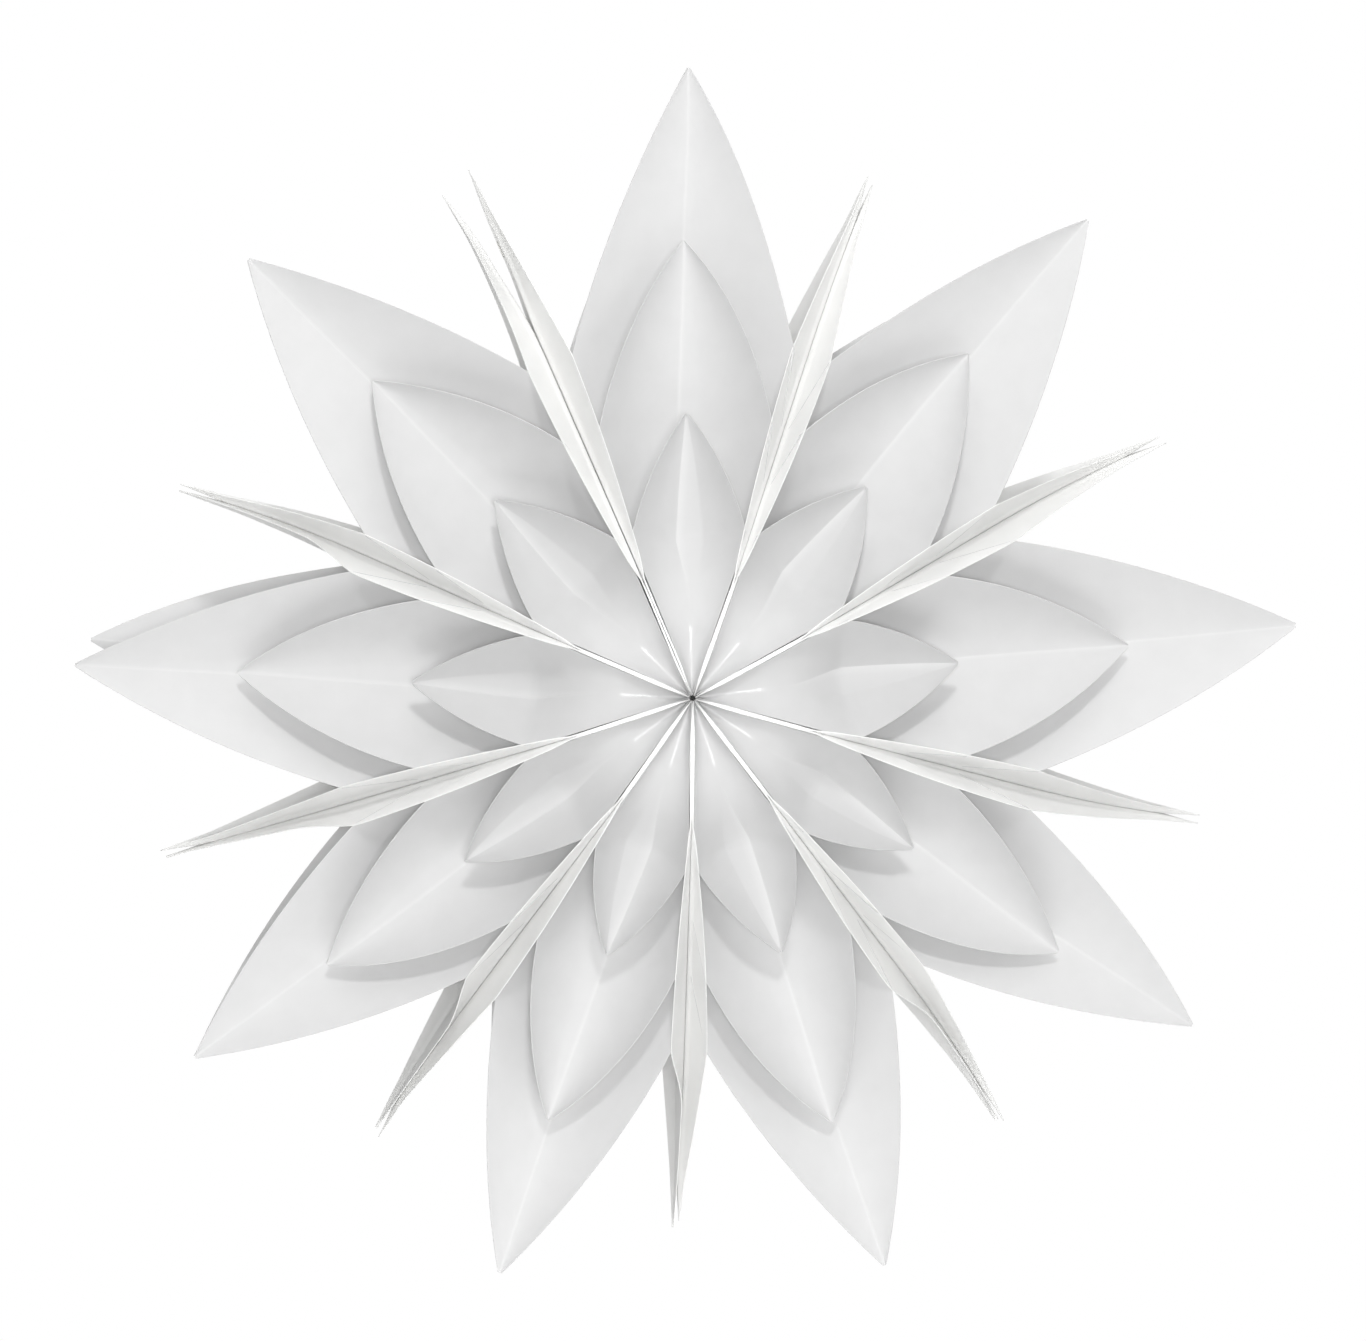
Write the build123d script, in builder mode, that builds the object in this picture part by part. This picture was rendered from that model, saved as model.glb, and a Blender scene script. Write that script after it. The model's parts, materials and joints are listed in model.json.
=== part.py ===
"""Folding paper star: nine bag-like sectors of card, opened like a fan about a central spine.

Each sector has two pages that stand along the radius and three nested leaves across its front
and its back. Neighbouring pages are glued back to back; the first and last page meet at the
closing seam. Millimetres, +Z up, the star's axis along Y, its front towards -Y.
"""
import os
from math import cos, degrees, radians, sin

from build123d import *

# Sheet and fits
card = 0.4
clearance = 0.3

# Sectors, counted clockwise from the closing seam as seen from the front. As the star hangs, its own
# weight opens the upper sectors and closes the lower ones
closing_angle = 112.3
sector_angles = (42.0, 41.8, 44.1, 36.9, 38.0, 34.8, 36.9, 41.1, 43.4)
closing_gap_angle = 360.0 - sum(sector_angles)

# Page: a sheet in a radial plane, with a flap folded out along its front and back edges
spine_radius = 10.0
page_half_depth = 85.0
flap_start_radius = 60.0
page_tip_radius = 276.0
page_tip_half_width = 0.6
flap_corner_radius = 178.0
flap_corner_depth = 62.0
flap_edge_bow = 4.0
flap_end_margin = 2.0
flap_angle = 22.0
fold_score = 0.12

# Leaves: the crease runs from its depth at the axis to the tip, each side edge seats on the
# page's flap at a share of the flap's edge, and the outer edge is bowed
leaf_seat = 1.2
leaf_tip_half_width = 1.0
small_inner_radius = 5.0
small_rise = 1.0
small_seat_share = 0.205
small_tip_radius = 137.0
small_tip_depth = 57.0
small_edge_bow = 3.4
inner_radius = 14.0
medium_axis_depth = 44.0
medium_seat_share = 0.665
medium_tip_radius = 222.0
medium_tip_depth = 45.0
medium_edge_bow = 6.9
large_axis_depth = 36.0
large_tip_radius = 305.0
large_tip_depth = 40.0
large_edge_bow = 5.5

# Spine fold: the strip that joins the two pages of a sector
spine_half_depth = 30.0

# Closing dots between the first and last page, as thick as the narrowest part of the gap allows
dot_radius = 8.0
dot_at_radius = 150.0
dot_at_depth = 28.0
dot_gap = 0.14
dot_thickness = (dot_at_radius - dot_radius) * sin(radians(closing_gap_angle / 2)) - dot_gap / 2

# Hanging eyelets in the first and last page
eyelet_bore_radius = 2.5
eyelet_wall = 0.6
eyelet_flange_radius = 4.6
eyelet_flange = 0.4
eyelet_clearance = 0.05
eyelet_from_tip = 36.0
eyelet_at_radius = page_tip_radius - eyelet_from_tip


def radial(angle):
    """Unit vector from the axis out along a seam or a crease."""
    return Vector(cos(radians(angle)), 0, sin(radians(angle)))


def clockwise(angle):
    """Unit vector square to that radius, clockwise as seen from the front."""
    return Vector(sin(radians(angle)), 0, -cos(radians(angle)))


front = Vector(0, -1, 0)
seams = [closing_angle - sum(sector_angles[:k]) for k in range(len(sector_angles) + 1)]
# The origin is the middle of the first page's eyelet, so the star's centre lies below it
centre = radial(seams[0]) * -eyelet_at_radius - clockwise(seams[0]) * (card / 2)
middle_plane = Plane(origin=centre, x_dir=(1, 0, 0), z_dir=front)


def radial_plane(angle):
    """Plane through the axis at one angle: x is the radius, y the depth towards the front."""
    return Plane(origin=centre, x_dir=radial(angle), z_dir=clockwise(angle))


fold_line = Vector(page_tip_radius - flap_start_radius, page_tip_half_width - page_half_depth)
fold_length = fold_line.length
fold_along = fold_line.normalized()
fold_out = Vector(-fold_along.Y, fold_along.X)


def flap_coordinates(radius, depth):
    """A point of the flat page as distances along and out from the flap's fold line."""
    from_start = Vector(radius - flap_start_radius, depth - page_half_depth)
    return from_start.dot(fold_along), from_start.dot(fold_out)


def flap_plane(angle, side):
    """Plane of a page's front flap. side is +1 for the page clockwise of the seam, -1 for the other."""
    start = radial(angle) * flap_start_radius + front * page_half_depth
    along = radial(angle) * fold_along.X + front * fold_along.Y
    flat_out = radial(angle) * fold_out.X + front * fold_out.Y
    turn = radians(flap_angle)
    out = flat_out * cos(turn) + clockwise(angle) * (side * sin(turn))
    return Plane(origin=centre + start, x_dir=along, z_dir=along.cross(out))


flap_corner = flap_coordinates(flap_corner_radius, flap_corner_depth)
with BuildLine() as flap_outline:
    flap_edge = SagittaArc((flap_end_margin, 0), flap_corner, flap_edge_bow)
    Polyline(flap_corner, (fold_length - flap_end_margin, 0), (flap_end_margin, 0))


def make_page(angle, side, with_eyelet):
    """One page: a sheet from the spine to the spike, with a flap folded out at its front and its back.

    The sheet stops a score short of the fold line, where the card is creased for the flap.
    """
    edge_depth = page_half_depth - fold_score
    tip_depth = page_tip_half_width - fold_score
    with BuildPart() as page:
        with BuildSketch(radial_plane(angle)):
            with BuildLine():
                Polyline(
                    (spine_radius, edge_depth),
                    (flap_start_radius, edge_depth),
                    (page_tip_radius, tip_depth),
                    (page_tip_radius, -tip_depth),
                    (flap_start_radius, -edge_depth),
                    (spine_radius, -edge_depth),
                    close=True,
                )
            make_face()
            if with_eyelet:
                with Locations((eyelet_at_radius, 0)):
                    Circle(eyelet_bore_radius + eyelet_wall + eyelet_clearance, mode=Mode.SUBTRACT)
        extrude(amount=side * card)
        with BuildSketch(flap_plane(angle, side)):
            make_face(flap_outline.edges())
        front_flap = extrude(amount=side * card)
        mirror(front_flap, about=middle_plane)
    return page.part


def make_leaf_pair(start_angle, end_angle, axis_depth, inner_end, tip_radius, tip_depth, seat_share, bow):
    """A creased leaf across the front of a sector and its twin across the back.

    Half a leaf is a flat sheet through the crease and the corner on the page's flap. Its side edge
    follows the page, then the flap, a clearance away, and the other half mirrors it at the crease.
    """
    middle = (start_angle + end_angle) / 2
    page_face = card + clearance
    flap = flap_plane(start_angle, 1)
    apex = centre + front * axis_depth
    tip = centre + radial(middle) * tip_radius + front * tip_depth
    seat = flap_edge @ seat_share
    corner = flap.from_local_coords(Vector(seat.X, seat.Y - leaf_seat, page_face))
    sheet = Plane(origin=apex, x_dir=tip - apex, z_dir=(tip - apex).cross(corner - apex))
    crease = (tip - apex).length
    inner = crease * inner_end / tip_radius
    corner_x, corner_y, _ = tuple(sheet.to_local_coords(corner))

    def beside(x, face_normal, face_point):
        """Distance from the crease, at x along it, of the line where the sheet meets a page's face."""
        on_crease = apex + sheet.x_dir * x
        return (face_point - on_crease).dot(face_normal) / sheet.y_dir.dot(face_normal)

    seam_normal = clockwise(start_angle)
    seam_point = centre + seam_normal * page_face
    inner_y = beside(inner, seam_normal, seam_point)
    page_slope = (beside(corner_x, seam_normal, seam_point) - inner_y) / (corner_x - inner)
    flap_slope = (corner_y - beside(inner, flap.z_dir, corner)) / (corner_x - inner)
    bend_x = corner_x - (inner_y + page_slope * (corner_x - inner) - corner_y) / (page_slope - flap_slope)
    bend_y = inner_y + page_slope * (bend_x - inner)
    with BuildPart() as pair:
        with BuildSketch(sheet):
            with BuildLine():
                outer_edge = SagittaArc((corner_x, corner_y), (crease, leaf_tip_half_width), bow)
                side_edge = Polyline((inner, inner_y), (bend_x, bend_y), outer_edge @ 0)
                Polyline(outer_edge @ 1, (crease, 0), (inner, 0), side_edge @ 0)
            make_face()
        extrude(amount=card)
        mirror(about=radial_plane(middle))
        mirror(about=middle_plane)
    return pair.part


def make_small_leaves(start_angle, end_angle):
    """The short leaves at the front and back, whose creases rise to the axis."""
    return make_leaf_pair(
        start_angle,
        end_angle,
        page_half_depth + small_rise,
        small_inner_radius,
        small_tip_radius,
        small_tip_depth,
        small_seat_share,
        small_edge_bow,
    )


def make_medium_leaves(start_angle, end_angle):
    """The leaves of middle length, under the small ones."""
    return make_leaf_pair(
        start_angle,
        end_angle,
        medium_axis_depth,
        inner_radius,
        medium_tip_radius,
        medium_tip_depth,
        medium_seat_share,
        medium_edge_bow,
    )


def make_large_leaves(start_angle, end_angle):
    """The leaves that reach the points of the star, seated at the flap's corner."""
    return make_leaf_pair(
        start_angle,
        end_angle,
        large_axis_depth,
        inner_radius,
        large_tip_radius,
        large_tip_depth,
        1.0,
        large_edge_bow,
    )


def make_spine_fold(start_angle, end_angle):
    """The strip at the spine that joins the two pages of a sector."""
    outer = spine_radius - clearance
    inner = outer - card
    margin = degrees(clearance / 2 / outer)
    first = end_angle + margin
    sweep = start_angle - end_angle - 2 * margin
    with BuildPart() as fold:
        with BuildSketch(middle_plane):
            with BuildLine():
                outer_arc = CenterArc((0, 0), outer, first, sweep)
                inner_arc = CenterArc((0, 0), inner, first, sweep)
                Line(outer_arc @ 0, inner_arc @ 0)
                Line(outer_arc @ 1, inner_arc @ 1)
            make_face()
        extrude(amount=spine_half_depth, both=True)
    return fold.part


def make_closing_dots(angle, side):
    """Two round fastener dots on the face of a closing page that looks at the other one."""
    with BuildPart() as dots:
        with BuildSketch(radial_plane(angle)):
            with Locations((dot_at_radius, dot_at_depth), (dot_at_radius, -dot_at_depth)):
                Circle(dot_radius)
        extrude(amount=-side * dot_thickness)
    return dots.part


def make_eyelet(angle, side):
    """A flanged eyelet set in a closing page."""
    wall_radius = eyelet_bore_radius + eyelet_wall
    at_hole = radial_plane(angle).offset(side * card / 2)
    with BuildPart() as eyelet:
        with BuildSketch(at_hole):
            with Locations((eyelet_at_radius, 0)):
                Circle(wall_radius)
        extrude(amount=card / 2, both=True)
        with BuildSketch(at_hole.offset(card / 2), at_hole.offset(-card / 2 - eyelet_flange)):
            with Locations((eyelet_at_radius, 0)):
                Circle(eyelet_flange_radius)
        extrude(amount=eyelet_flange)
        with BuildSketch(at_hole):
            with Locations((eyelet_at_radius, 0)):
                Circle(eyelet_bore_radius)
        extrude(amount=card / 2 + eyelet_flange, both=True, mode=Mode.SUBTRACT)
    return eyelet.part


def write(part, name):
    """Label a finished piece and write its file."""
    part.label = name
    export_step(part, f"parts/{name}.step")


os.makedirs("parts", exist_ok=True)
for k, (start, end) in enumerate(zip(seams, seams[1:])):
    write(make_page(start, 1, start == seams[0]), f"sector_{k + 1}_leading_page")
    write(make_page(end, -1, end == seams[-1]), f"sector_{k + 1}_trailing_page")
    write(make_spine_fold(start, end), f"sector_{k + 1}_spine_fold")
    write(make_small_leaves(start, end), f"sector_{k + 1}_small_leaves")
    write(make_medium_leaves(start, end), f"sector_{k + 1}_medium_leaves")
    write(make_large_leaves(start, end), f"sector_{k + 1}_large_leaves")
write(make_closing_dots(seams[0], 1), "closing_hook_dots")
write(make_closing_dots(seams[-1], -1), "closing_loop_dots")
write(make_eyelet(seams[0], 1), "hanging_eyelet_first_page")
write(make_eyelet(seams[-1], -1), "hanging_eyelet_last_page")
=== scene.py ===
"""Folding card star: nine sectors of white card, opened like a fan and hung with its front to the viewer."""
import json
import math
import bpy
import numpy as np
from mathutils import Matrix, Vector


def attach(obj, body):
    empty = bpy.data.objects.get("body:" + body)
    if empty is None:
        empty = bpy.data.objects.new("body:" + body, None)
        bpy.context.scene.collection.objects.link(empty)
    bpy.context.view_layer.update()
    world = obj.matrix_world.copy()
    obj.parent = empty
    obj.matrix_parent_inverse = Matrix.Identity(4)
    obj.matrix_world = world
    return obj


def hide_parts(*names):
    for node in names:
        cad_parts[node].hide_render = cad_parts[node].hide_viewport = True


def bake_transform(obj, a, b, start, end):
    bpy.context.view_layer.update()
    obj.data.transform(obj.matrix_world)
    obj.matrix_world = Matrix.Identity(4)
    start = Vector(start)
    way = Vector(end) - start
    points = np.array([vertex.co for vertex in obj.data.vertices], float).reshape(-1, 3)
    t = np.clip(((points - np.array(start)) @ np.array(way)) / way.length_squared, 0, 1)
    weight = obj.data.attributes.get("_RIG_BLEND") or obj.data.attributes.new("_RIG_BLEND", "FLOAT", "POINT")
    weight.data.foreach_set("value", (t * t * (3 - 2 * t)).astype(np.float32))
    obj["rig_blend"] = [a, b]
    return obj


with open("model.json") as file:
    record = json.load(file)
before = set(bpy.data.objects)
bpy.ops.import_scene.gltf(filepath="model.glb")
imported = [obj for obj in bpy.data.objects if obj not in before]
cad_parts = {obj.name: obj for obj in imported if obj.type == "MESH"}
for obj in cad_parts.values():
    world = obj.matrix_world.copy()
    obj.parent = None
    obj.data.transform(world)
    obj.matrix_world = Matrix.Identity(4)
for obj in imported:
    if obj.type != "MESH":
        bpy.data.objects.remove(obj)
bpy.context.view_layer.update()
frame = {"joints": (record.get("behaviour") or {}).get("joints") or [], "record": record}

from types import SimpleNamespace
from typing import NamedTuple

import bpy
import numpy as np
from mathutils import Vector

bl_info = {
    "name": "Folding card star",
    "version": (1, 0, 0),
    "blender": (4, 5, 0),
    "location": "View3D > Sidebar > Card star",
    "description": "Builds the sheets, fittings and stage of a folding card star around its packed parts",
    "category": "Add Mesh",
}

MM = 0.001
FRONT = np.array([0.0, -1.0, 0.0])
CENTRE = np.array(frame["joints"][0]["pos_m"], float)
BODY_OF = {node: body for body, nodes in frame["record"]["behaviour"]["bodies"].items() for node in nodes}
SECTORS = 9
LEAF_COLUMNS = 13
# A glued page's face lies this far off its seam's plane, in mm
SEAM_GAP = 0.02
# Fittings are sharp where faces meet at more than this
SHARP_ANGLE = math.radians(40)


# Properties


def length(name, description, mm):
    """A length that is given here in mm and kept in metres."""
    return bpy.props.FloatProperty(name=name, description=description, default=mm * MM, unit="LENGTH")


def finish_colour(name, description, hex_colour):
    """The colour of a finish, as an sRGB hex value."""
    return bpy.props.StringProperty(name=name, description=description, default=hex_colour)


class StarSizes(bpy.types.PropertyGroup):
    """Sizes that the sheets share with the solids."""

    closing_angle: bpy.props.FloatProperty(
        name="Closing angle", description="Direction of the closing seam, anticlockwise from the right",
        default=math.radians(112.3), unit="ROTATION")
    sector_widths: bpy.props.FloatVectorProperty(
        name="Sector widths", description="Angle of each sector, clockwise from the closing seam", size=SECTORS,
        default=np.radians((42.0, 41.8, 44.1, 36.9, 38.0, 34.8, 36.9, 41.1, 43.4)).tolist(), unit="ROTATION")
    card: length("Card", "Thickness of the card", 0.4)
    clearance: length("Clearance", "Gap between a leaf's edge and the page", 0.3)
    page_half_depth: length("Page half depth", "Middle plane to the page's front edge", 85.0)
    spine_radius: length("Spine radius", "Axis to the page's inner edge", 10.0)
    spine_half_depth: length("Spine half depth", "Half the length of the spine strips", 30.0)
    flap_start_radius: length("Flap start", "Radius at which the page's flap begins", 60.0)
    page_tip_radius: length("Page tip", "Radius of the page's spike", 276.0)
    page_tip_half_width: length("Page tip width", "Half the width of the blunt spike", 0.6)
    flap_corner_radius: length("Flap corner radius", "Radius of the flap's widest point", 178.0)
    flap_corner_depth: length("Flap corner depth", "Depth of the flap's widest point", 62.0)
    flap_edge_bow: length("Flap bow", "Bow of the flap's edge", 4.0)
    flap_end_margin: length("Flap margin", "Fold line left free at each end of the flap", 2.0)
    flap_angle: bpy.props.FloatProperty(
        name="Flap angle", description="How far the flap is folded out of the page", default=math.radians(25.0),
        unit="ROTATION")
    fold_softness: length("Fold softness", "Width over which the flap's fold is rounded", 1.4)
    fold_lift: bpy.props.FloatProperty(
        name="Fold lift", description="Extra turn of the strip beside the flap's fold", default=math.radians(16.0),
        unit="ROTATION")
    spike_fork: length("Spike fork", "How far apart the spikes of two glued pages spring", 1.8)
    leaf_seat: length("Leaf seat", "Distance of a leaf's corner inside the flap's edge", 1.2)
    leaf_tip_half_width: length("Leaf tip width", "Half the width of a leaf's blunt tip", 1.0)
    eyelet_distance: length("Eyelet distance", "Axis to the middle of an eyelet", 240.0)
    eyelet_bore: length("Eyelet bore", "Radius of the eyelet's hole", 2.5)
    eyelet_flange: length("Eyelet flange", "Radius of the eyelet's rolled flange", 4.6)
    dot_distance: length("Dot distance", "Axis to the middle of a closing dot", 150.0)
    dot_depth: length("Dot depth", "Middle plane to the middle of a closing dot", 28.0)
    dot_radius: length("Dot radius", "Radius of a closing dot", 8.0)


class StarColours(bpy.types.PropertyGroup):
    """Finishes as sRGB hex values."""

    # Painted shade: the leaf cards are the same white card as the pages, painted darker, the small leaves darkest and
    # the large lightest
    large_leaf_card: finish_colour("Large leaf card", "Coated white card", "#D3D3D3")
    medium_leaf_card: finish_colour("Medium leaf card", "Coated white card", "#D2D2D2")
    small_leaf_card: finish_colour("Small leaf card", "Coated white card", "#CCCCCC")
    page_card: finish_colour("Page card", "Coated white card", "#F6F6F5")
    eyelet: finish_colour("Eyelet", "White enamelled brass", "#ECEBE7")
    hook_tape: finish_colour("Hook dots", "Moulded nylon hooks", "#E6E6E2")
    loop_tape: finish_colour("Loop dots", "Napped nylon loops", "#EAE8E3")
    floor: finish_colour("Floor", "Pale studio floor", "#EDEDED")


def sizes():
    """The sizes as set in the scene, in mm and degrees."""
    group = bpy.context.scene.star_sizes
    scale = {"LENGTH": 1 / MM, "ROTATION": 180 / math.pi}
    return SimpleNamespace(**{name: np.multiply(getattr(group, name), scale[group.bl_rna.properties[name].unit])
                              for name in StarSizes.__annotations__})


def colours():
    """The colours as set in the scene."""
    return bpy.context.scene.star_colours


# Shared mathematics


def ramp(value, start, end):
    """Smooth step from 0 at start to 1 at end: three t squared less two t cubed."""
    t = np.clip((value - start) / (end - start), 0.0, 1.0)
    return t * t * (3.0 - 2.0 * t)


def seam_angles():
    """Angle of each seam: the closing angle less the widths of the sectors before it."""
    return sizes().closing_angle - np.concatenate([[0.0], np.cumsum(sizes().sector_widths)])


def sector_span(sector):
    """Angles of a sector's leading seam, of its middle and of its trailing seam, and half its width."""
    leading, trailing = seam_angles()[sector:sector + 2]
    return leading, (leading + trailing) / 2, trailing, (leading - trailing) / 2


def closing_slope():
    """Half the closing gap for each mm of radius: the sine of half the angle left open."""
    return math.sin(math.radians(360.0 - sum(sizes().sector_widths)) / 2)


def sector_axes(angle):
    """Radius, anticlockwise tangent and front at one angle, as rows."""
    a = math.radians(angle)
    return np.array([[math.cos(a), 0.0, math.sin(a)], [-math.sin(a), 0.0, math.cos(a)], FRONT])


def to_frame(points, angle):
    """Points given in mm along a sector's axes, turned into metres of the shared frame."""
    return CENTRE + points @ sector_axes(angle) * MM


def bowed_edge(start, end, bow, count):
    """Points on an arc from start to end that bulges left of the chord by bow."""
    start, end = np.asarray(start, float), np.asarray(end, float)
    chord = end - start
    width = np.hypot(*chord)
    left = np.array([-chord[1], chord[0]]) / width
    radius = (width ** 2 / 4 + bow ** 2) / (2 * bow)
    t = np.linspace(-0.5, 0.5, count)[:, None]
    rise = np.sqrt(radius ** 2 - (t * width) ** 2) - (radius - bow)
    return (start + end) / 2 + t * chord + rise * left


def flap_turn(half_width):
    """Flap angle of a sector in degrees: less in a narrow one, so that its flaps clear each other when folded."""
    full_from = 18.4
    return sizes().flap_angle * min(1.0, (half_width / full_from) ** 4)


class PageFold:
    """The flap's fold line in the flat page: where it starts, its direction, and the flap's edge."""

    def __init__(self):
        s = sizes()
        self.start = np.array([s.flap_start_radius, s.page_half_depth])
        self.tip = np.array([s.page_tip_radius, s.page_tip_half_width])
        line = self.tip - self.start
        self.along = line / np.hypot(*line)
        self.out = np.array([-self.along[1], self.along[0]])
        corner = self.flap_of(np.array([s.flap_corner_radius, s.flap_corner_depth]))
        self.edge = bowed_edge((s.flap_end_margin, 0.0), corner, s.flap_edge_bow, 201)

    def flap_of(self, flat):
        """Distances along and out from the fold line of a point of the flat page."""
        from_start = np.asarray(flat) - self.start
        return np.stack([from_start @ self.along, from_start @ self.out], -1)

    def edge_depth(self, radius):
        """Depth of the page's outline at a radius: level, then the flap's bowed edge, then straight to the spike."""
        bowed = self.start + self.edge[:, :1] * self.along + self.edge[:, 1:] * self.out
        outline = np.vstack([[0.0, self.start[1]], self.start, bowed, self.tip])
        return np.interp(radius, outline[:, 0], outline[:, 1])

    def fold_depth(self, radius):
        """Depth of the fold line at a radius, level inside its start."""
        return np.interp(radius, [self.start[0], self.tip[0]], [self.start[1], self.tip[1]])


# Mesh making


def grid_normals(points):
    """Unit normal at each grid point: cross product of the differences along rows and columns."""
    normal = np.cross(np.gradient(points, axis=0), np.gradient(points, axis=1))
    return normal / np.maximum(np.linalg.norm(normal, axis=-1, keepdims=True), 1e-12)


def card_shell(points, spread, thickness, towards):
    """A closed sheet from a grid: the grid, its copy moved along the normals, and a strip round the rim.

    towards is a direction that the moved copy lies on; thickness is one number or one per grid point. spread is
    the grid in the flat sheet. Returns points, quads, the sharp rim edges and the flat points.
    """
    rows, columns = points.shape[:2]
    normal = grid_normals(points)
    if np.sum(normal @ towards) < 0:
        normal = -normal
    height = np.broadcast_to(thickness, (rows, columns))[..., None]
    inner, outer = points.reshape(-1, 3), (points + normal * height).reshape(-1, 3)
    count = rows * columns
    grid = np.arange(count).reshape(rows, columns)
    quads = np.stack([grid[:-1, :-1], grid[1:, :-1], grid[1:, 1:], grid[:-1, 1:]], -1).reshape(-1, 4)
    face = np.cross(points[1, 0] - points[0, 0], points[0, 1] - points[0, 0])
    rim = np.concatenate([grid[0, :-1], grid[:-1, -1], grid[-1, :0:-1], grid[:0:-1, 0]])
    following = np.roll(rim, -1)
    band = np.stack([rim, following, following + count, rim + count], -1)
    if face @ normal[0, 0] > 0:
        faces = np.vstack([quads[:, ::-1], quads + count, band[:, ::-1]])
    else:
        faces = np.vstack([quads, quads[:, ::-1] + count, band])
    edges = np.stack([rim, following], -1)
    flat = np.tile(spread.reshape(-1, 2), (2, 1))
    return np.vstack([inner, outer]), faces, np.vstack([edges, edges + count]), flat


def mark_sharp(mesh, pairs):
    """Marks the edges between these pairs of points as sharp."""
    found = np.zeros(len(mesh.edges) * 2, np.int32)
    mesh.edges.foreach_get("vertices", found)
    size = len(mesh.vertices)
    found = np.sort(found.reshape(-1, 2), axis=1) @ np.array([size, 1])
    wanted = np.sort(np.asarray(pairs), axis=1) @ np.array([size, 1])
    sharp = mesh.attributes.get("sharp_edge") or mesh.attributes.new("sharp_edge", "BOOLEAN", "EDGE")
    sharp.data.foreach_set("value", np.isin(found, wanted))


def new_object(name, data):
    """An object in the scene."""
    made = bpy.data.objects.new(name, data)
    bpy.context.scene.collection.objects.link(made)
    return made


def make_piece(name, points, faces, sharp, flat, material):
    """An object from points, lists of corners, sharp edges and flat coordinates in mm, which become its UV map.

    Without sharp edges, they are found by their angle.
    """
    mesh = bpy.data.meshes.new(name)
    mesh.from_pydata(points.tolist(), [], faces)
    mesh.update()
    mesh.polygons.foreach_set("use_smooth", np.ones(len(mesh.polygons), bool))
    if sharp is None:
        mesh.set_sharp_from_angle(angle=SHARP_ANGLE)
    else:
        mark_sharp(mesh, sharp)
    corner = np.zeros(len(mesh.loops), np.int32)
    mesh.loops.foreach_get("vertex_index", corner)
    layer = mesh.uv_layers.new(name="flat_card")
    layer.data.foreach_set("uv", (flat * MM)[corner].astype(np.float32).ravel())
    mesh.materials.append(material)
    mesh.update()
    return new_object(name, mesh)


def bend_between_pages(piece, sector):
    """Lets a piece fold with its sector: each point follows the two pages by its share of the sector's angle."""
    leading, middle, trailing, half = sector_span(sector)
    start, end = (CENTRE + sector_axes(a)[0] * 0.1 for a in (leading, trailing))
    body_a, body_b = (BODY_OF[f"sector_{sector + 1}_{which}_page"] for which in ("leading", "trailing"))
    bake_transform(piece, body_a, body_b, start=tuple(start), end=tuple(end))
    mesh = piece.data
    place = np.zeros(len(mesh.vertices) * 3, np.float32)
    mesh.vertices.foreach_get("co", place)
    local = (place.reshape(-1, 3) - CENTRE) @ sector_axes(middle).T
    share = np.clip(0.5 - np.arctan2(local[:, 1], local[:, 0]) / (2 * math.radians(half)), 0.0, 1.0)
    mesh.attributes["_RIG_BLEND"].data.foreach_set("value", share.astype(np.float32))


# Materials


def linear(hex_colour, factor=1.0):
    """An sRGB hex colour as linear red, green, blue and alpha, with its light scaled by factor."""
    parts = np.array([int(hex_colour[i:i + 2], 16) for i in (1, 3, 5)]) / 255.0
    parts = np.where(parts <= 0.04045, parts / 12.92, ((parts + 0.055) / 1.055) ** 2.4)
    return (*(parts * factor).tolist(), 1.0)


def node(tree, kind, settings=(), links=(), stops=()):
    """Adds a node, sets its properties, sockets and colour stops, and links other nodes' outputs into it."""
    made = tree.nodes.new(kind)
    for key, value in dict(settings).items():
        if isinstance(key, str) and hasattr(made, key) and key not in made.inputs:
            setattr(made, key, value)
        else:
            made.inputs[key].default_value = value
    for key, (source, output) in dict(links).items():
        tree.links.new(source.outputs[output], made.inputs[key])
    for index, (position, colour) in enumerate(stops):
        element = made.color_ramp.elements[index]
        element.position, element.color = position, colour
    return made


def new_material(name):
    """An empty node material with its Principled shader."""
    material = bpy.data.materials.new(name)
    material.use_nodes = True
    return material, material.node_tree, material.node_tree.nodes["Principled BSDF"]


def dress(tree, shader, colour, relief, settings):
    """Links a colour and a relief into a shader and sets its own sockets."""
    tree.links.new(colour[0].outputs[colour[1]], shader.inputs["Base Color"])
    tree.links.new(relief.outputs["Normal"], shader.inputs["Normal"])
    for key, value in settings.items():
        shader.inputs[key].default_value = value


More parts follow.
